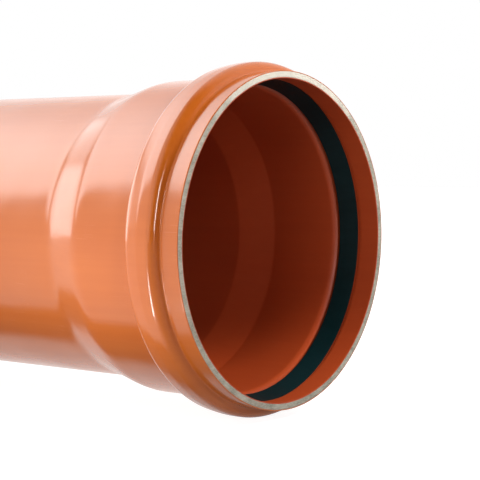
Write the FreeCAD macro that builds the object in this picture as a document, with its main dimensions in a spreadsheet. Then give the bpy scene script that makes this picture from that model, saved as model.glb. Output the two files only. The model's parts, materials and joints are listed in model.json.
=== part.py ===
import FreeCAD, Part
import os
import Sketcher

# A gravity sewer pipe of unplasticised PVC, 160 mm across outside, lying on the floor.
# One end is a plain bevelled spigot. The other is belled out into a socket whose
# bead holds a rubber sealing ring, and the next pipe's spigot goes into it.
#
# Frame: the pipe's axis runs along X, its mouth faces +X, and +Z is up. The origin is
# on the floor, under the middle of the length. Sizes are in millimetres.
#
# In both sections X is measured from the mouth, so the pipe runs towards -X, and the
# second coordinate is the distance from the axis.

sizes = {
    # The straight pipe.
    "pipeRadius": 80.0,
    "wallThickness": 4.0,
    "layingLength": 1000.0,
    "bevelLength": 7.0,
    "bevelDepth": 1.9,
    # The collar in front of the bead, and the mouth's bore inside it.
    "mouthRadius": 89.4,
    "mouthBore": 85.3,
    "collarLength": 11.05,
    "collarRadius": 89.3,
    "mouthBoreEnd": 12.2,
    "mouthBoreEndRadius": 85.6,
    "noseSeatStart": 12.9,
    "noseSeatRadius": 86.6,
    "noseSeatEnd": 16.4,
    # The bead outside, and the groove for the ring inside it.
    "beadFront": 12.6,
    "beadRadius": 94.6,
    "crownEnd": 22.0,
    "beadBack": 32.4,
    "beadBackRadius": 93.1,
    "beadHeel": 33.9,
    "grooveFront": 16.9,
    "grooveRadius": 90.9,
    "grooveBack": 28.6,
    "socketEdge": 26.3,
    "socketEdgeRadius": 87.2,
    # The socket, and the taper from it down to the pipe.
    "socketRadius": 86.3,
    "socketBore": 82.2,
    "socketBoreEnd": 71.2,
    "socketDepth": 93.5,
    "taperStart": 73.5,
    "taperEnd": 97.0,
    # Rounded corners, outside and inside.
    "collarRound": 1.0,
    "beadFrontRound": 5.6,
    "crownRound": 20.0,
    "beadBackRound": 6.0,
    "heelRound": 1.8,
    "socketEdgeRound": 4.2,
    "taperRound": 30.0,
    "boreTaperRound": 6.0,
    "mouthBoreRound": 0.6,
    # The sealing ring.
    "noseFront": 14.3,
    "noseDepth": 0.6,
    "lipBack": 25.6,
    "lipBackRadius": 84.0,
    "lipTip": 24.8,
    "lipRadius": 83.0,
    "lipRound": 0.35,
}


def makeSheet(doc):
    """The sheet that drives every sketch and feature: one named number a row."""
    sheet = doc.addObject("Spreadsheet::Sheet", "Sizes")
    for row, (name, value) in enumerate(sizes.items(), start=1):
        sheet.set("A%d" % row, name)
        sheet.set("B%d" % row, str(value))
        sheet.setAlias("B%d" % row, name)
    doc.recompute()


def measure(terms):
    """The value of a sum of named sizes, such as "pipeRadius - wallThickness"."""
    value = 0.0
    sign = 1.0
    for word in terms.split():
        if word in "+-":
            sign = 1.0 if word == "+" else -1.0
        else:
            value += sign * sizes[word]
    return value


def formula(terms):
    """The same sum as an expression that reads the sheet."""
    words = [word if word in "+-" else "Sizes." + word for word in terms.split()]
    return " ".join(words)


def originFeature(body, role):
    for feature in body.Origin.OriginFeatures:
        if feature.Role == role:
            return feature
    raise ValueError("the body has no " + role)


def addSection(body, name, corners):
    """A closed outline of straight sides on the upright plane through the axis.

    Each corner is (distance behind the mouth, distance from the axis), both as sums
    of named sizes, and both become constraints that read the sheet.
    """
    sketch = body.newObject("Sketcher::SketchObject", name)
    sketch.AttachmentSupport = [(originFeature(body, "XZ_Plane"), "")]
    sketch.MapMode = "FlatFace"
    points = [FreeCAD.Vector(-measure(back), measure(out), 0) for back, out in corners]
    for start, end in zip(points, points[1:] + points[:1]):
        sketch.addGeometry(Part.LineSegment(start, end), False)
    count = len(corners)
    for side in range(count):
        sketch.addConstraint(Sketcher.Constraint("Coincident", side, 2, (side + 1) % count, 1))
    for side, (back, out) in enumerate(corners):
        if back != "":
            along = Sketcher.Constraint("DistanceX", side, 1, -1, 1, measure(back))
            sketch.setExpression("Constraints[%d]" % sketch.addConstraint(along), formula(back))
        else:
            sketch.addConstraint(Sketcher.Constraint("PointOnObject", side, 1, -2))
        outward = Sketcher.Constraint("DistanceY", -1, 1, side, 1, measure(out))
        sketch.setExpression("Constraints[%d]" % sketch.addConstraint(outward), formula(out))
    return sketch


def turn(body, sketch, name):
    """Turns a section once round the pipe's axis, which is the sketch's own X axis."""
    feature = body.newObject("PartDesign::Revolution", name)
    feature.Profile = sketch
    feature.ReferenceAxis = (sketch, ["H_Axis"])
    feature.Angle = 360
    sketch.Visibility = False
    return feature


def roundEdges(doc, body, base, name, radius, corners):
    """Rounds the circles that the section's corners sweep out."""
    doc.recompute()
    wanted = [(-measure(back), measure(out)) for back, out in corners]
    found = []
    for number, edge in enumerate(base.Shape.Edges, start=1):
        if not isinstance(edge.Curve, Part.Circle):
            continue
        place = (edge.Curve.Center.x, edge.Curve.Radius)
        if any(abs(place[0] - x) + abs(place[1] - r) < 0.01 for x, r in wanted):
            found.append("Edge%d" % number)
    if len(found) < len(corners):
        raise ValueError("%s found %d of %d edges" % (name, len(found), len(corners)))
    fillet = body.newObject("PartDesign::Fillet", name)
    fillet.Base = (base, found)
    fillet.setExpression("Radius", formula(radius))
    doc.recompute()
    return fillet


def layDown(body):
    """Raises the axis to the bead's radius and centres the length on the origin."""
    body.setExpression(".Placement.Base.x", "(Sizes.layingLength + Sizes.socketDepth) / 2")
    body.setExpression(".Placement.Base.z", "Sizes.beadRadius")


def makePipe(doc):
    """The pipe and its socket, one piece: the outside, then the bevel, then the inside."""
    body = doc.addObject("PartDesign::Body", "pipe")
    body.Label = "pipe"
    wholeLength = "layingLength + socketDepth"
    outside = [
        ("", "mouthRadius"),
        ("collarLength", "collarRadius"),
        ("beadFront", "beadRadius"),
        ("crownEnd", "beadRadius"),
        ("beadBack", "beadBackRadius"),
        ("beadHeel", "socketRadius"),
        ("taperStart", "socketRadius"),
        ("taperEnd", "pipeRadius"),
        (wholeLength + " - bevelLength", "pipeRadius"),
        (wholeLength, "pipeRadius - bevelDepth"),
    ]
    inside = [
        (wholeLength, "pipeRadius - wallThickness"),
        ("socketDepth", "pipeRadius - wallThickness"),
        ("socketBoreEnd", "socketBore"),
        ("socketEdge", "socketBore"),
        ("socketEdge", "socketEdgeRadius"),
        ("grooveBack", "grooveRadius"),
        ("grooveFront", "grooveRadius"),
        ("noseSeatEnd", "noseSeatRadius"),
        ("noseSeatStart", "noseSeatRadius"),
        ("mouthBoreEnd", "mouthBoreEndRadius"),
        ("", "mouthBore"),
    ]
    sketch = addSection(body, "pipeSection", outside + inside)
    wall = turn(body, sketch, "pipeWall")
    rounds = [
        ("taperRounds", "taperRound", [outside[6], outside[7]]),
        ("boreTaperRounds", "boreTaperRound", [inside[1], inside[2]]),
        ("collarRounding", "collarRound", [outside[1]]),
        ("beadFrontRounding", "beadFrontRound", [outside[2]]),
        ("crownRounding", "crownRound", [outside[3]]),
        ("beadBackRounding", "beadBackRound", [outside[4]]),
        ("heelRounding", "heelRound", [outside[5]]),
        ("socketEdgeRounding", "socketEdgeRound", [inside[3]]),
        ("mouthBoreRounding", "mouthBoreRound", [inside[9]]),
    ]
    feature = wall
    for name, radius, corners in rounds:
        feature = roundEdges(doc, body, feature, name, radius, corners)
    layDown(body)
    return body


def makeSealingRing(doc):
    """The rubber ring: it fills the bead's groove, and its lip leans back to the bore."""
    body = doc.addObject("PartDesign::Body", "sealing_ring")
    body.Label = "sealing_ring"
    section = [
        ("noseFront", "noseSeatRadius"),
        ("noseSeatEnd", "noseSeatRadius"),
        ("grooveFront", "grooveRadius"),
        ("grooveBack", "grooveRadius"),
        ("socketEdge", "socketEdgeRadius"),
        ("lipBack", "lipBackRadius"),
        ("lipTip", "lipRadius"),
        ("noseFront", "noseSeatRadius - noseDepth"),
    ]
    sketch = addSection(body, "ringSection", section)
    ring = turn(body, sketch, "ringBody")
    roundEdges(doc, body, ring, "lipRounding", "lipRound", [section[6]])
    layDown(body)
    return body


def checkAndExport(doc, bodies):
    """Stops on any failed object, then writes each piece to its own file."""
    doc.recompute()
    for item in doc.Objects:
        if "Invalid" in item.State or "Error" in item.State:
            raise ValueError(item.Name + " failed: " + str(item.State))
    os.makedirs("parts", exist_ok=True)
    for body in bodies:
        shape = body.Shape
        if shape.isNull() or not shape.isValid() or len(shape.Solids) != 1:
            raise ValueError(body.Label + " is not one valid solid")
        shape.exportStep("parts/" + body.Label + ".step")
        box = shape.BoundBox
        print("%s: %.1f cm3, X %.1f to %.1f, Z %.1f to %.1f" % (
            body.Label, shape.Volume / 1000, box.XMin, box.XMax, box.ZMin, box.ZMax))


def main():
    doc = FreeCAD.newDocument("sewer_pipe")
    makeSheet(doc)
    checkAndExport(doc, [makePipe(doc), makeSealingRing(doc)])


main()
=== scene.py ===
import json
import math

import bpy
import numpy as np
from mathutils import Matrix, Vector


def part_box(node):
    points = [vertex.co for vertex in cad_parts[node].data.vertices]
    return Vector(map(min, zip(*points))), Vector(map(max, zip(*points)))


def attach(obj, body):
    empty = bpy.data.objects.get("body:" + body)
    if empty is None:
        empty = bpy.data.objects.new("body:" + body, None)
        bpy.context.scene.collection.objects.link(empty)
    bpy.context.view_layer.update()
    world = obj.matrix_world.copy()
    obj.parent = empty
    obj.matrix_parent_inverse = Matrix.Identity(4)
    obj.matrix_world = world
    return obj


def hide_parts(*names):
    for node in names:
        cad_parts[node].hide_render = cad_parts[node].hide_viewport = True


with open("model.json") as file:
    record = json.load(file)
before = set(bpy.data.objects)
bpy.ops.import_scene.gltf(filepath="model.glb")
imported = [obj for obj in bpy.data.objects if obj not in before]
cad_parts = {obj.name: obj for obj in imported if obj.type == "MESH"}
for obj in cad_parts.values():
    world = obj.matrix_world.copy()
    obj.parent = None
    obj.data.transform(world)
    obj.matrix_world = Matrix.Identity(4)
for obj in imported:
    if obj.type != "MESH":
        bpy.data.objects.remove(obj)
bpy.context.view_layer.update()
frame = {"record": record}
mm = 0.001

# where the pipe lies: its mouth faces +X and its axis is level
pipeLow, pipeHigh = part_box("pipe")
mouthX = pipeHigh.x
axisY = (pipeLow.y + pipeHigh.y) / 2
axisZ = (pipeLow.z + pipeHigh.z) / 2
wholeLength = (pipeHigh.x - pipeLow.x) / mm
mountRadius = {m["name"]: m["dims"]["r_mm"] for m in frame["record"]["mounts"]}
print("frame: pipe %.1f mm long, axis %.1f mm up" % (wholeLength, axisZ / mm))


# outlines: distance behind the mouth and distance from the axis, in mm

arcStep = 3             # degrees of half a rounded corner between its points
straightEnough = 1e-4   # radians; a corner that turns less than this isn't rounded


# Rounds each corner (back, out, radius) of an open line and spaces points along it.
# The arc at a corner starts radius * tan(turn / 2) before it and turns about a centre
# that lies at radius / cos(turn / 2) from the corner, on the line that halves it.
def roundedLine(corners, step):
    at = np.array([c[:2] for c in corners], float)
    radius = np.array([c[2] for c in corners], float)
    parts = [at[:1]]
    for i in range(1, len(at) - 1):
        before = (at[i - 1] - at[i]) / np.linalg.norm(at[i - 1] - at[i])
        after = (at[i + 1] - at[i]) / np.linalg.norm(at[i + 1] - at[i])
        half = math.acos(np.clip(-before @ after, -1, 1)) / 2
        if radius[i] == 0 or half < straightEnough:
            parts.append(at[i:i + 1])
            continue
        middle = (before + after) / np.linalg.norm(before + after)
        centre = at[i] + middle * radius[i] / math.cos(half)
        turn = np.linspace(-half, half, max(4, int(math.degrees(half) / arcStep) + 2))
        side = np.array([-middle[1], middle[0]])
        if side @ before > 0:
            side = -side
        inward, sideways = middle * radius[i], side * radius[i]
        parts.append(centre - inward * np.cos(turn)[:, None] + sideways * np.sin(turn)[:, None])
    line = np.vstack(parts)
    gap = np.linalg.norm(np.diff(line, axis=0), axis=1)
    pieces = [np.linspace(a, b, max(1, int(math.ceil(g / step(a[0])))), endpoint=False)
              for a, b, g in zip(line[:-1], line[1:], gap)]
    return np.vstack(pieces + [line[-1:]])


# The line moved sideways: each point goes along the mean normal of its two sides.
def shifted(line, amount):
    along = np.gradient(line, axis=0)
    along /= np.linalg.norm(along, axis=1)[:, None]
    return line + amount * np.column_stack([-along[:, 1], along[:, 0]])


# Carries a closed outline once round the pipe's axis: x = mouth - back,
# y = out * sin(turn), z = out * cos(turn). Points run round both ways, so it has no seam.
def turnOutline(name, outline, around, ripple=None):
    turn = np.linspace(0, 2 * math.pi, around, endpoint=False)
    back, out = outline[:, 0][None, :], outline[:, 1][None, :]
    grid = np.broadcast_to(turn[:, None], (around, outline.shape[0]))
    if ripple is not None:
        moveBack, moveOut = ripple(grid, back, out)
        back, out = back + moveBack, out + moveOut
    points = np.stack(np.broadcast_arrays(
        mouthX - back * mm, axisY + out * mm * np.sin(grid), axisZ + out * mm * np.cos(grid)), axis=-1)
    rows, columns = grid.shape
    index = np.arange(rows * columns).reshape(rows, columns)
    nextRow, nextColumn = np.roll(index, -1, axis=0), np.roll(index, -1, axis=1)
    nextBoth = np.roll(nextRow, -1, axis=1)
    faces = np.stack([index, nextColumn, nextBoth, nextRow], axis=-1).reshape(-1, 4)
    return makeMesh(name, points.reshape(-1, 3), faces)


def makeMesh(name, points, faces):
    mesh = bpy.data.meshes.new(name)
    mesh.vertices.add(len(points))
    mesh.vertices.foreach_set("co", points.astype(np.float32).ravel())
    mesh.loops.add(faces.size)
    mesh.loops.foreach_set("vertex_index", faces.astype(np.int32).ravel())
    mesh.polygons.add(len(faces))
    mesh.polygons.foreach_set("loop_start", np.arange(0, faces.size, faces.shape[1], dtype=np.int32))
    mesh.polygons.foreach_set("use_smooth", np.ones(len(faces), bool))
    mesh.update(calc_edges=True)
    mesh.validate()
    piece = bpy.data.objects.new(name, mesh)
    bpy.context.scene.collection.objects.link(piece)
    return piece


# Joins lines into one closed outline and drops points that fall on each other.
def closeOutline(*lines):
    outline = np.vstack(lines)
    gap = np.linalg.norm(outline - np.roll(outline, 1, axis=0), axis=1)
    return outline[gap > 1e-4]


# Turns the faces round if the closed mesh's signed volume comes out negative.
def faceOutwards(piece):
    mesh = piece.data
    points = np.empty(len(mesh.vertices) * 3, np.float32)
    mesh.vertices.foreach_get("co", points)
    points = points.reshape(-1, 3).astype(float) - np.array([mouthX, axisY, axisZ])
    corners = np.empty(len(mesh.loops), np.int32)
    mesh.loops.foreach_get("vertex_index", corners)
    a, b, c, d = (points[corners.reshape(-1, 4)[:, i]] for i in range(4))
    volume = (np.einsum("ij,ij->", a, np.cross(b, c)) + np.einsum("ij,ij->", a, np.cross(c, d))) / 6
    if volume < 0:
        mesh.flip_normals()
    return abs(volume)


# the pipe: two orange skins and the grey core between them

pipe = {
    "around": 256,            # points round the axis
    "rimStep": 0.4,           # mm from the mouth to the first points behind its edges
    "nearStep": 2.0,          # mm between points over the socket
    "farStep": 10.0,          # and along the straight pipe
    "socketReach": 112.0,
    "skin": 0.5,              # thickness of each orange skin
    "skinEdge": 0.14,         # how far the skins' sawn edges are broken
    "bevelLength": 7.0,
    "bevelDepth": 1.9,
    "endStep": 0.4,           # the last points before the spigot's edges, which keep those edges crisp
    "wave": 0.16,             # how far the wall wanders from round, mm, always inwards
    "sawDepth": 0.07,         # height of the saw's marks on the cut core, mm
    "mouthAcross": 8,         # points across the core's cut face at the mouth
    "endAcross": 6,           # and at the spigot's end
}
straightRadius = mountRadius["spigot"]
boreRadius = mountRadius["pipe_bore"]
socketRadius = mountRadius["socket_bore"]
beadRadius = (pipeHigh.z - pipeLow.z) / 2 / mm

# the groove's corners, which the pipe's inside and the rubber ring share
grooveCorners = [(16.4, 86.6), (16.9, 90.9), (28.6, 90.9), (26.3, 87.2)]
# corners: distance behind the mouth, distance from the axis, rounding
bevelStart = wholeLength - pipe["bevelLength"]
outsideCorners = [
    (pipe["skinEdge"], 89.4, 0), (pipe["rimStep"], 89.4, 0), (11.05, 89.3, 1.0),
    (12.6, beadRadius, 5.6), (22.0, beadRadius, 20), (32.4, 93.1, 6.0), (33.9, 86.3, 1.8),
    (73.5, 86.3, 30), (97.0, straightRadius, 30), (pipe["socketReach"], straightRadius, 0),
    (bevelStart - pipe["endStep"], straightRadius, 0), (bevelStart, straightRadius, 0)]
insideCorners = [
    (pipe["skinEdge"], 85.3, 0), (pipe["rimStep"], 85.3, 0), (12.2, 85.6, 0.6), (12.9, 86.6, 0.3),
    *[(*corner, rounding) for corner, rounding in zip(grooveCorners, (0.5, 0.5, 0.5, 0.3))],
    (26.3, socketRadius, 4.2), (71.2, socketRadius, 6.0), (93.5, boreRadius, 6.0),
    (pipe["socketReach"], boreRadius, 0), (wholeLength - pipe["endStep"], boreRadius, 0),
    (wholeLength, boreRadius, 0)]


def pipeStep(back):
    return pipe["nearStep"] if back < pipe["socketReach"] else pipe["farStep"]


# How the extruded and belled wall wanders: a slow oval, plus four long waves that run
# mostly along the pipe, each sin(count * turn + back / length + start). Never outwards.
def wallWave(turn, back, out):
    wander = 0.50 * np.sin(2 * turn + 0.7 + back / 300)
    wander = wander + 0.16 * np.sin(9 * turn + back / 34 + 1.9) + 0.14 * np.sin(13 * turn - back / 26 + 4.1)
    wander = wander + 0.11 * np.sin(17 * turn + back / 19 + 0.4) + 0.09 * np.sin(23 * turn - back / 41 + 2.6)
    return 0 * wander, pipe["wave"] * (wander - 1) / 2


# The wall's own wander, and on the mouth's cut face the saw's marks: ridges that cross
# the wall at a slant, sin(count * turn + slant * out), deeper and shallower round the rim.
def sawnWave(turn, back, out):
    moveOut = wallWave(turn, back, out)[1]
    cut = np.clip(1 - np.abs(back) / 0.05, 0, 1)
    ridges = np.sin(90 * turn + 2.1 * out) + 0.8 * np.sin(151 * turn - 3.3 * out + 1.1)
    ridges = (ridges * (0.6 + 0.4 * np.sin(5 * turn + 0.8)) + 1.8) / 3.6
    return cut * pipe["sawDepth"] * ridges, moveOut


# The surface under a skin: the skin's line moved into the wall by its thickness, with a
# third of its points, from the cut face at the mouth to the given end.
def underSkin(line, amount, end):
    under = shifted(line, amount)[::3]
    under[0] = 0, line[0, 1] + amount
    return np.vstack([under[under[:, 0] < end[0] - 1], [end]])


def makePipe():
    outside = roundedLine(outsideCorners, pipeStep)
    inside = roundedLine(insideCorners, pipeStep)
    skin = pipe["skin"]
    # the bevel cuts through the outer skin at a slant and bares the core behind it
    skinEnd = wholeLength - pipe["bevelLength"] * (1 - skin / pipe["bevelDepth"])
    underOutside = underSkin(outside, -skin, (skinEnd, straightRadius - skin))
    underInside = underSkin(inside, skin, (wholeLength, boreRadius + skin))
    edge = pipe["skinEdge"]
    outerSkin = closeOutline([[0, outside[0, 1] - edge]], outside, underOutside[::-1])
    innerSkin = closeOutline([[0, inside[0, 1] + edge]], inside, underInside[::-1])
    endRadius = straightRadius - pipe["bevelDepth"]
    # rings of points across each cut face; those at the mouth carry the saw's marks
    mouthAcross = np.linspace(underInside[0, 1], underOutside[0, 1], pipe["mouthAcross"])[1:-1]
    endAcross = np.linspace(endRadius, boreRadius + skin, pipe["endAcross"])[:-1]
    bevelSlope = pipe["bevelDepth"] / pipe["bevelLength"]
    tip = wholeLength - pipe["endStep"], endRadius + pipe["endStep"] * bevelSlope
    core = closeOutline(
        underOutside,
        [tip],
        np.column_stack([np.full(len(endAcross), wholeLength), endAcross]),
        underInside[::-1],
        np.column_stack([np.zeros(len(mouthAcross)), mouthAcross]))
    made = [
        turnOutline("outer_skin", outerSkin, pipe["around"], wallWave),
        turnOutline("grey_core", core, pipe["around"] * 2, sawnWave),
        turnOutline("inner_skin", innerSkin, pipe["around"], wallWave)]
    for piece in made:
        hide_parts("pipe")
    return made


# the rubber ring in the bead's groove

ring = {
    "around": 256,
    "step": 1.2,
    "noseRound": 0.175,
    "seatRound": 0.2,
    "lipBackRound": 0.3,
    "lipRound": 0.4,
    "swell": 0.12,            # how unevenly the rubber sits in the groove, mm
    "startBack": 5.0,         # where its outline starts, mm behind the nose's foot
}
# the nose's top, the groove, the lip's back and tip, and the nose's foot
ringCorners = [
    (14.3, 86.6, ring["noseRound"]),
    *[(*corner, ring["seatRound"]) for corner in grooveCorners],
    (25.6, 84.0, ring["lipBackRound"]), (24.8, 83.0, ring["lipRound"]), (14.3, 86.0, ring["noseRound"])]


# The seated rubber: its lip breathes slowly round the ring and lies a little in and out.
def ringSwell(turn, back, out):
    free = np.clip((87.0 - out) / 3, 0, 1)
    slow = np.sin(3 * turn + 0.5) + 0.6 * np.sin(7 * turn + 2.2) + 0.3 * np.sin(16 * turn + 1.1)
    return 0.5 * ring["swell"] * free * slow, ring["swell"] * free * (slow + 1.9) / 3.8


def makeRing():
    lipTip, noseFoot = ringCorners[6:]
    slope = (noseFoot[1] - lipTip[1]) / (lipTip[0] - noseFoot[0])
    start = noseFoot[0] + ring["startBack"], noseFoot[1] - ring["startBack"] * slope, 0
    line = roundedLine([start, noseFoot, *ringCorners[:7], start], lambda back: ring["step"])
    piece = turnOutline("rubber_ring", closeOutline(line[:-1]), ring["around"], ringSwell)
    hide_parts("sealing_ring")
    return piece


# finishes

def node(tree, kind, **values):
    made = tree.nodes.new(kind)
    for key, value in values.items():
        if hasattr(made, key):
            setattr(made, key, value)
        else:
            made.inputs[key.replace("_", " ")].default_value = value
    return made


def math1(tree, operation, first, second=0.0, clamp=False):
    made = tree.nodes.new("ShaderNodeMath")
    made.operation, made.use_clamp = operation, clamp
    for socket, value in zip(made.inputs, (first, second)):
        if isinstance(value, bpy.types.NodeSocket):
            tree.links.new(value, socket)
        else:
            socket.default_value = value
    return made.outputs[0]


def mapped(tree, value, low, high, newLow=0.0, newHigh=1.0):
    made = node(tree, "ShaderNodeMapRange", interpolation_type="SMOOTHSTEP")
    for name, number in (("From Min", low), ("From Max", high), ("To Min", newLow), ("To Max", newHigh)):
        made.inputs[name].default_value = number
    tree.links.new(value, made.inputs["Value"])
    return made.outputs["Result"]


def mixColour(tree, factor, first, second):
    made = node(tree, "ShaderNodeMix", data_type="RGBA")
    for index, value in ((0, factor), (6, first), (7, second)):
        if isinstance(value, bpy.types.NodeSocket):
            tree.links.new(value, made.inputs[index])
        else:
            made.inputs[index].default_value = value
    return made.outputs[2]


# A node group with named sockets: (name, kind, default) going in and (name, kind) coming out.
def newGroup(name, inputs, outputs):
    tree = bpy.data.node_groups.new(name, "ShaderNodeTree")
    for label, kind, default in inputs:
        socket = tree.interface.new_socket(label, in_out="INPUT", socket_type="NodeSocket" + kind)
        if default is not None:
            socket.default_value = default
    for label, kind in outputs:
        tree.interface.new_socket(label, in_out="OUTPUT", socket_type="NodeSocket" + kind)
    return tree, tree.nodes.new("NodeGroupInput").outputs, tree.nodes.new("NodeGroupOutput").inputs


# Noise on coordinates in metres, stretched by dividing each axis's frequency.
def noise(tree, vector, scale, detail=3.0, stretch=(1, 1, 1), rough=0.55, distortion=0.0):
    mapping = node(tree, "ShaderNodeMapping", vector_type="POINT")
    mapping.inputs["Scale"].default_value = stretch
    tree.links.new(vector, mapping.inputs["Vector"])
    made = node(tree, "ShaderNodeTexNoise", Scale=scale, Detail=detail, Roughness=rough,
                Distortion=distortion)
    tree.links.new(mapping.outputs["Vector"], made.inputs["Vector"])
    return made.outputs["Fac"]


# Extruded plastic: soft cloudy tone, faint die lines along the pipe, and shine that
# changes with both. Vector is in metres, centred on the pipe's axis.
def buildPlasticGroup():
    tree, given, result = newGroup(
        "extrudedPlastic",
        [("Vector", "Vector", None), ("Light Tone", "Color", (0.7, 0.2, 0.05, 1)),
         ("Deep Tone", "Color", (0.6, 0.15, 0.04, 1)), ("Shine", "Float", 0.2),
         ("Shine Change", "Float", 0.1), ("Lines", "Float", 1.0)],
        [("Color", "Color"), ("Roughness", "Float"), ("Height", "Float")])
    clouds = noise(tree, given["Vector"], 16, 4, (0.45, 1, 1))
    lines = noise(tree, given["Vector"], 260, 3, (0.012, 1, 1), 0.6)
    fine = noise(tree, given["Vector"], 900, 2, (0.02, 1, 1), 0.5)
    tone = math1(tree, "ADD", math1(tree, "MULTIPLY", mapped(tree, clouds, 0.3, 0.7), 0.7),
                 math1(tree, "MULTIPLY", mapped(tree, lines, 0.3, 0.7), 0.3))
    tree.links.new(mixColour(tree, tone, given["Deep Tone"], given["Light Tone"]), result["Color"])
    uneven = math1(tree, "SUBTRACT", mapped(tree, clouds, 0.25, 0.75), 0.5)
    change = math1(tree, "MULTIPLY", uneven, given["Shine Change"])
    tree.links.new(math1(tree, "ADD", given["Shine"], change, True), result["Roughness"])
    height = math1(tree, "ADD", math1(tree, "MULTIPLY", lines, 0.7), math1(tree, "MULTIPLY", fine, 0.3))
    tree.links.new(math1(tree, "MULTIPLY", height, given["Lines"]), result["Height"])
    return tree


# Handling marks: thin broken scratches in two directions and small scuffed patches.
def buildWearGroup():
    tree, given, result = newGroup(
        "handlingMarks", [("Vector", "Vector", None), ("Amount", "Float", 1.0)],
        [("Scratches", "Float"), ("Scuffs", "Float")])
    along = noise(tree, given["Vector"], 420, 1, (0.05, 1, 1), 0.4, 0.5)
    across = noise(tree, given["Vector"], 300, 1, (1, 0.12, 0.12), 0.4, 0.8)
    breaks = noise(tree, given["Vector"], 38, 2)
    thinAlong = mapped(tree, math1(tree, "ABSOLUTE", math1(tree, "SUBTRACT", along, 0.5)), 0.0, 0.012, 1, 0)
    thinAcross = mapped(tree, math1(tree, "ABSOLUTE", math1(tree, "SUBTRACT", across, 0.5)), 0.0, 0.01, 1, 0)
    kept = mapped(tree, breaks, 0.56, 0.66)
    both = math1(tree, "MAXIMUM", thinAlong, math1(tree, "MULTIPLY", thinAcross, 0.6))
    scratched = math1(tree, "MULTIPLY", both, kept)
    tree.links.new(math1(tree, "MULTIPLY", scratched, given["Amount"]), result["Scratches"])
    patches = mapped(tree, noise(tree, given["Vector"], 55, 5, (0.5, 1, 1), 0.7), 0.58, 0.75)
    tree.links.new(math1(tree, "MULTIPLY", patches, given["Amount"]), result["Scuffs"])
    return tree


def startMaterial(name):
    material = bpy.data.materials.new(name)
    material.use_nodes = True
    tree = material.node_tree
    shader = tree.nodes["Principled BSDF"]
    coordinates = node(tree, "ShaderNodeTexCoord")
    centred = node(tree, "ShaderNodeMapping", vector_type="POINT")
    centred.inputs["Location"].default_value = (-mouthX, -axisY, -axisZ)
    tree.links.new(coordinates.outputs["Object"], centred.inputs["Vector"])
    return material, tree, shader, centred.outputs["Vector"]


def placeGroup(tree, group, vector, **values):
    placed = node(tree, "ShaderNodeGroup")
    placed.node_tree = group
    tree.links.new(vector, placed.inputs["Vector"])
    for name, value in values.items():
        placed.inputs[name.replace("_", " ")].default_value = value
    return placed.outputs


def addBump(tree, shader, height, distance):
    bump = node(tree, "ShaderNodeBump", Distance=distance, Strength=1.0)
    tree.links.new(height, bump.inputs["Height"])
    tree.links.new(bump.outputs["Normal"], shader.inputs["Normal"])


wornPlastic = (0.80, 0.36, 0.20, 1)   # the paler tone of scratched and scuffed plastic
plasticFinish = {
    "outside": {
        "light": (0.435, 0.103, 0.011, 1), "deep": (0.388, 0.084, 0.008, 1),
        "shine": 0.15, "change": 0.06, "lines": 0.8, "marks": 0.25,
        "bump": 0.00005,      # m, how high the surface's own height stands
        "sag": 14.0,          # how much the wall's slow waves add to it
        "ior": 1.58},
    "inside": {
        # painted shade: the inside is the same PVC as the outside, given darker, redder tones that stand in
        # for the shade inside the pipe
        "light": (0.38, 0.055, 0.012, 1), "deep": (0.33, 0.044, 0.010, 1),
        "shine": 0.50, "change": 0.08, "lines": 1.0, "marks": 0.15,
        "bump": 0.00004,
        "sag": 3.0,
        "ior": 1.5},
}


def makePlastic(name, finish):
    material, tree, shader, vector = startMaterial(name)
    plastic = placeGroup(tree, plasticGroup, vector, Light_Tone=finish["light"], Deep_Tone=finish["deep"],
                         Shine=finish["shine"], Shine_Change=finish["change"], Lines=finish["lines"])
    marks = placeGroup(tree, wearGroup, vector, Amount=finish["marks"])
    worn = math1(tree, "MAXIMUM", marks["Scratches"], math1(tree, "MULTIPLY", marks["Scuffs"], 0.35))
    paler = mixColour(tree, math1(tree, "MULTIPLY", worn, 0.25), plastic["Color"], wornPlastic)
    tree.links.new(paler, shader.inputs["Base Color"])
    tree.links.new(math1(tree, "ADD", plastic["Roughness"], math1(tree, "MULTIPLY", worn, 0.25), True),
                   shader.inputs["Roughness"])
    sag = noise(tree, vector, 34, 1, (0.8, 1, 1), 0.4)
    fine = math1(tree, "SUBTRACT", plastic["Height"], math1(tree, "MULTIPLY", worn, 0.35))
    height = math1(tree, "ADD", fine, math1(tree, "MULTIPLY", sag, finish["sag"]))
    addBump(tree, shader, height, finish["bump"])
    shader.inputs["IOR"].default_value = finish["ior"]
    return material


coreFinish = {
    "pale": (0.38, 0.345, 0.28, 1), "dark": (0.18, 0.165, 0.13, 1),
    # painted light: the pale colour that the top of the cut face is painted, standing in for light from above
    "paintedLitTop": (0.66, 0.61, 0.52, 1), "brown": (0.32, 0.19, 0.12, 1),
    "paintedLitFrom": (0.06, 0.105),    # m above the axis, where the painted light on the face's top starts and where it is strongest
    # painted light on the top: how strong it gets at most, and how unevenly its lower edge runs
    "paintedLitMost": 0.75, "paintedLitUneven": 0.03,
    "shine": 0.62, "bump": 0.00025,
}
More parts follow.
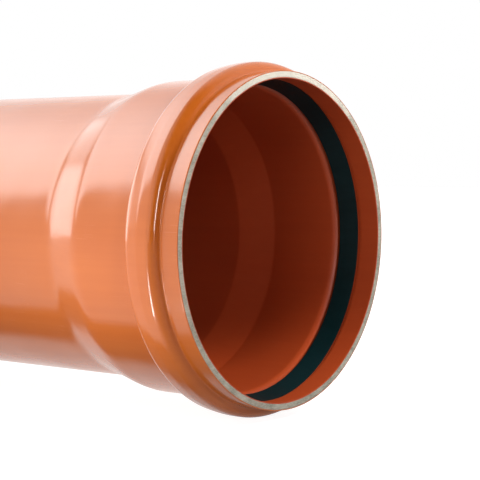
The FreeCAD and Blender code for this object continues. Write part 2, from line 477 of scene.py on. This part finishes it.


# The cut core: pale grey with darker sawn streaks, small pores and brown smears; its upper part is painted
# paler, a painted light standing in for light falling on it from above.
def makeCoreMaterial():
    material, tree, shader, vector = startMaterial("sawnGreyCore")
    clouds = noise(tree, vector, 90, 4)
    streaks = noise(tree, vector, 700, 3, (1, 0.35, 1), 0.65, 1.5)
    pores = mapped(tree, noise(tree, vector, 2600, 2), 0.60, 0.72)
    tone = math1(tree, "ADD", math1(tree, "MULTIPLY", mapped(tree, clouds, 0.35, 0.65), 0.5),
                 math1(tree, "MULTIPLY", mapped(tree, streaks, 0.35, 0.65), 0.5))
    grey = mixColour(tree, tone, coreFinish["dark"], coreFinish["pale"])
    # painted light: the upper part of the face is painted paler, standing in for light falling on it from
    # above
    split = node(tree, "ShaderNodeSeparateXYZ")
    tree.links.new(vector, split.inputs[0])
    litHeight = math1(tree, "ADD", split.outputs["Z"], math1(tree, "MULTIPLY", clouds, coreFinish["paintedLitUneven"]))
    paintedLitTop = mapped(tree, litHeight, *coreFinish["paintedLitFrom"], 0, coreFinish["paintedLitMost"])
    grey = mixColour(tree, paintedLitTop, grey, coreFinish["paintedLitTop"])
    smeared = mapped(tree, noise(tree, vector, 150, 3, (1, 1, 1), 0.6), 0.60, 0.78, 0, 0.55)
    tree.links.new(mixColour(tree, smeared, grey, coreFinish["brown"]), shader.inputs["Base Color"])
    shader.inputs["Roughness"].default_value = coreFinish["shine"]
    height = math1(tree, "SUBTRACT", streaks, math1(tree, "MULTIPLY", pores, 0.6))
    addBump(tree, shader, height, coreFinish["bump"])
    return material


rubberFinish = {
    "fresh": (0.001, 0.009, 0.010, 1), "bloomed": (0.003, 0.017, 0.019, 1),
    "scuffed": (0.010, 0.026, 0.028, 1),
    "shine": 0.45, "change": 0.14, "lines": 0.4, "marks": 0.4, "specular": 0.16, "bump": 0.00008,
}


# Moulded rubber: near black with a faint pale bloom, fine grain, and shine that varies.
def makeRubber():
    material, tree, shader, vector = startMaterial("sealingRubber")
    plastic = placeGroup(
        tree, plasticGroup, vector, Light_Tone=rubberFinish["bloomed"], Deep_Tone=rubberFinish["fresh"],
        Shine=rubberFinish["shine"], Shine_Change=rubberFinish["change"], Lines=rubberFinish["lines"])
    marks = placeGroup(tree, wearGroup, vector, Amount=rubberFinish["marks"])
    scuffed = math1(tree, "MULTIPLY", marks["Scuffs"], 0.3)
    paler = mixColour(tree, scuffed, plastic["Color"], rubberFinish["scuffed"])
    tree.links.new(paler, shader.inputs["Base Color"])
    tree.links.new(plastic["Roughness"], shader.inputs["Roughness"])
    shader.inputs["Specular IOR Level"].default_value = rubberFinish["specular"]
    grain = math1(tree, "MULTIPLY", noise(tree, vector, 1800, 2), 0.5)
    addBump(tree, shader, math1(tree, "ADD", plastic["Height"], grain), rubberFinish["bump"])
    return material


# putting it together

plasticGroup = buildPlasticGroup()
wearGroup = buildWearGroup()
outerSkin, greyCore, innerSkin = makePipe()
sealingRing = makeRing()
finishes = [
    (outerSkin, makePlastic("orangeOutside", plasticFinish["outside"]), "orange_pvc"),
    (greyCore, makeCoreMaterial(), "grey_core"),
    # the inner skin's darker tones are painted shade
    (innerSkin, makePlastic("orangeInsidePaintedShade", plasticFinish["inside"]), "orange_pvc"),
    (sealingRing, makeRubber(), "black_rubber")]
for piece, material, slotName in finishes:
    piece.data.materials.append(material)
    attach(piece, "root")
    print("%s: %.1f cm3, %d faces" % (piece.name, faceOutwards(piece) * 1e6, len(piece.data.polygons)))


# floor, light and camera

studio = {
    "floorReach": 7.0,        # m, half the floor's side
    "floorDrop": 0.0001,      # m from the pipe's lowest point down to the floor
    "floorColour": (0.25, 0.25, 0.25, 1),
    "floorSeen": 0.90,        # the floor's own glow as the camera sees it near the pipe
    "floorSeenEdge": (0.3, 1.6),   # m from the middle, from there to plain white
    "glowUnder": 0.75,        # its glow on the pipe from below and behind
    "glowFront": 1.02,        # from in front, beside the pipe
    "glowMouth": 0.05,        # and past the mouth, where the floor is dark
    "mouthEdge": (-0.06, 0.02),    # m from the mouth, where the glow ends
    "shade": (-0.110, -0.095, -0.060, -0.045),   # the dark strip along the pipe's near side
    "front": 0.02,            # the room's light in front of the pipe
    "strip": (6.0, 1.3),      # the overhead strip, near end and far end
    "stripAlong": (-0.4, 0.6),     # the y of those two ends
    "stripX": -0.71,
    "stripWide": (0.08, 0.15),
    "stripEdge": (-0.64, -0.54),
    "stripLow": (0.05, 0.20),
    "glint": 19.0,            # the slim upright light in front, which gives the bead's upper glint
    "glintTowards": (0.906, -0.423, 0.0),
    "glintWide": (0.035, 0.075),
    "glintLow": (0.02, 0.09),
    "glintHigh": (0.40, 0.48),
}
# the room's broad lights: each one's direction, its two limits and its level
sides = {
    "nearLeft": {"towards": (-0.72, -0.69, 0.1), "edge": (0.2, 0.75), "level": 1.35},
    "behind": {"towards": (-0.3, 0.95, 0), "edge": (-0.1, 0.5), "level": 1.0},
    "farBox": {"towards": (-0.95, -0.16, 0.14), "edge": (0.93, 0.975), "level": 4.6},
    # the paler box above it shows in the taper, and stops short of the strip
    "upperBox": {"towards": (-0.86, 0.30, 0.42), "edge": (0.90, 0.96), "level": 2.6, "xEdge": (-0.84, -0.77)},
}
view = {
    "place": (0.4716, -0.6322, 0.0396),       # from the mouth's centre, m
    "towards": (-0.0199, -0.0159, 0.0005),
    "lens": 112.5,
    "sensor": 36.0,
}
# place and aim are from the mouth's centre, m, and size is along and across
lamps = {
    # a slim lamp on the floor gives the lower glint on the bead's front
    "frontLower": {"place": (-0.057, -0.245, -0.090), "aim": (-0.057, -0.245, 0), "along": (0, 1, 0),
                   "size": (0.20, 0.020), "power": 0.26},
    # one in front lights the mouth and the near side, and isn't mirrored in the shine
    "frontSoft": {"place": (0.20, -0.98, 0.20), "aim": (-0.1, 0, 0), "along": (1, 0, 0),
                  "size": (0.35, 0.4), "power": 3.2, "mirrored": False},
    # nor is the one beyond the mouth, which lights its cut face
    "right": {"place": (0.36, 0.26, 0.40), "aim": (0, 0, 0.05), "along": (0, 1, 0),
              "size": (0.2, 0.2), "power": 4.5, "mirrored": False},
}
mouth = Vector((mouthX, axisY, axisZ))


# A flat square of floor at the pipe's lowest point. It glows on the pipe from under, behind
# and beside it, as a white table does, and the camera sees it pale right out to the horizon.
def makeFloor():
    reach = studio["floorReach"]
    line = np.linspace(-reach, reach, 9)
    across, along = np.meshgrid(line, line, indexing="ij")
    height = np.full(across.shape, pipeLow.z - studio["floorDrop"])
    points = np.stack([across, along, height], axis=-1).reshape(-1, 3)
    index = np.arange(81).reshape(9, 9)
    faces = np.stack([index[:-1, :-1], index[1:, :-1], index[1:, 1:], index[:-1, 1:]], axis=-1).reshape(-1, 4)
    floor = makeMesh("floor", points, faces)
    material = bpy.data.materials.new("paleFloor")
    material.use_nodes = True
    tree = material.node_tree
    shader = tree.nodes["Principled BSDF"]
    shader.inputs["Base Color"].default_value = studio["floorColour"]
    shader.inputs["Roughness"].default_value = 0.9
    shader.inputs["Emission Color"].default_value = (1, 1, 1, 1)
    place = node(tree, "ShaderNodeTexCoord").outputs["Object"]
    split = node(tree, "ShaderNodeSeparateXYZ")
    tree.links.new(place, split.inputs[0])
    shade = studio["shade"]
    beside = mapped(tree, split.outputs["Y"], shade[0], shade[1], studio["glowFront"], 0)
    beneath = mapped(tree, split.outputs["Y"], shade[2], shade[3], 0, studio["glowUnder"])
    glowEnds = [mouthX + edge for edge in studio["mouthEdge"]]
    behindMouth = mapped(tree, split.outputs["X"], *glowEnds, 1, 0)
    under = math1(tree, "MULTIPLY", math1(tree, "ADD", beside, beneath), behindMouth)
    under = math1(tree, "ADD", under, studio["glowMouth"])
    far = node(tree, "ShaderNodeVectorMath", operation="LENGTH")
    tree.links.new(place, far.inputs[0])
    seen = mapped(tree, far.outputs["Value"], *studio["floorSeenEdge"], studio["floorSeen"], 1.0)
    camera = node(tree, "ShaderNodeLightPath").outputs["Is Camera Ray"]
    glow = node(tree, "ShaderNodeMix", data_type="FLOAT")
    for socket, value in ((glow.inputs[0], camera), (glow.inputs[2], under), (glow.inputs[3], seen)):
        tree.links.new(value, socket)
    tree.links.new(glow.outputs[0], shader.inputs["Emission Strength"])
    floor.data.materials.append(material)


# The room's own light by direction. A broad light comes up where the direction's dot product
# with its own passes from one limit to the other. The overhead strip is the band of directions
# near one x, from its edge in y back over the pipe. The slim light is the band of directions
# near one upright plane, between two heights. The camera sees plain white instead.
def makeRoom():
    world = bpy.data.worlds.new("studioRoom")
    bpy.context.scene.world = world
    world.use_nodes = True
    tree = world.node_tree
    background = tree.nodes["Background"]
    direction = node(tree, "ShaderNodeTexCoord").outputs["Generated"]
    split = node(tree, "ShaderNodeSeparateXYZ")
    tree.links.new(direction, split.inputs[0])

    def side(towards, low, high, level):
        dot = node(tree, "ShaderNodeVectorMath", operation="DOT_PRODUCT")
        dot.inputs[1].default_value = Vector(towards).normalized()
        tree.links.new(direction, dot.inputs[0])
        return mapped(tree, dot.outputs["Value"], low, high, 0, level)

    fromBand = math1(tree, "ABSOLUTE", math1(tree, "SUBTRACT", split.outputs["X"], studio["stripX"]))
    strip = mapped(tree, fromBand, *studio["stripWide"], 1, 0)
    strip = math1(tree, "MULTIPLY", strip, mapped(tree, split.outputs["Y"], *studio["stripEdge"]))
    strip = math1(tree, "MULTIPLY", strip, mapped(tree, split.outputs["Z"], *studio["stripLow"]))
    strip = math1(tree, "MULTIPLY", strip,
                  mapped(tree, split.outputs["Y"], *studio["stripAlong"], *studio["strip"]))

    facing = Vector(studio["glintTowards"]).normalized()
    offPlane = node(tree, "ShaderNodeVectorMath", operation="DOT_PRODUCT")
    offPlane.inputs[1].default_value = Vector((0, 0, 1)).cross(facing)
    tree.links.new(direction, offPlane.inputs[0])
    fromPlane = math1(tree, "ABSOLUTE", offPlane.outputs["Value"])
    glint = mapped(tree, fromPlane, *studio["glintWide"], studio["glint"], 0)
    glint = math1(tree, "MULTIPLY", glint, mapped(tree, split.outputs["Z"], *studio["glintLow"]))
    glint = math1(tree, "MULTIPLY", glint, mapped(tree, split.outputs["Z"], *studio["glintHigh"], 1, 0))
    glint = math1(tree, "MULTIPLY", glint, side(facing, 0.0, 0.1, 1.0))

    level = math1(tree, "ADD", math1(tree, "ADD", strip, glint), studio["front"])
    for broad in sides.values():
        lit = side(broad["towards"], *broad["edge"], broad["level"])
        if "xEdge" in broad:
            lit = math1(tree, "MULTIPLY", lit, mapped(tree, split.outputs["X"], *broad["xEdge"], 1, 0))
        level = math1(tree, "MAXIMUM", level, lit)
    seen = math1(tree, "MAXIMUM", level, node(tree, "ShaderNodeLightPath").outputs["Is Camera Ray"])
    tree.links.new(seen, background.inputs["Strength"])
    background.inputs["Color"].default_value = (1, 1, 1, 1)


def makeLamp(name, lamp):
    light = bpy.data.lights.new(name, "AREA")
    light.shape = "RECTANGLE"
    light.size, light.size_y = lamp["size"]
    light.energy = lamp["power"]
    holder = bpy.data.objects.new(name, light)
    bpy.context.scene.collection.objects.link(holder)
    holder.location = mouth + Vector(lamp["place"])
    holder.visible_camera = False
    holder.visible_glossy = lamp.get("mirrored", True)
    back = (Vector(lamp["place"]) - Vector(lamp["aim"])).normalized()
    along = Vector(lamp["along"])
    along = (along - back * along.dot(back)).normalized()
    holder.rotation_euler = Matrix((along, back.cross(along), back)).transposed().to_euler()


def makeCamera():
    camera = bpy.data.cameras.new("camera")
    camera.lens = view["lens"]
    camera.sensor_width = view["sensor"]
    holder = bpy.data.objects.new("camera", camera)
    bpy.context.scene.collection.objects.link(holder)
    holder.location = mouth + Vector(view["place"])
    looking = Vector(view["towards"]) - Vector(view["place"])
    holder.rotation_euler = looking.to_track_quat("-Z", "Y").to_euler()
    camera.clip_start, camera.clip_end = 0.01, 100
    bpy.context.scene.camera = holder


makeFloor()
makeRoom()
for lampName, lamp in lamps.items():
    makeLamp(lampName, lamp)
makeCamera()
bpy.context.scene.view_settings.view_transform = "Standard"
print("studio: floor, room, %d lamps and camera" % len(lamps))
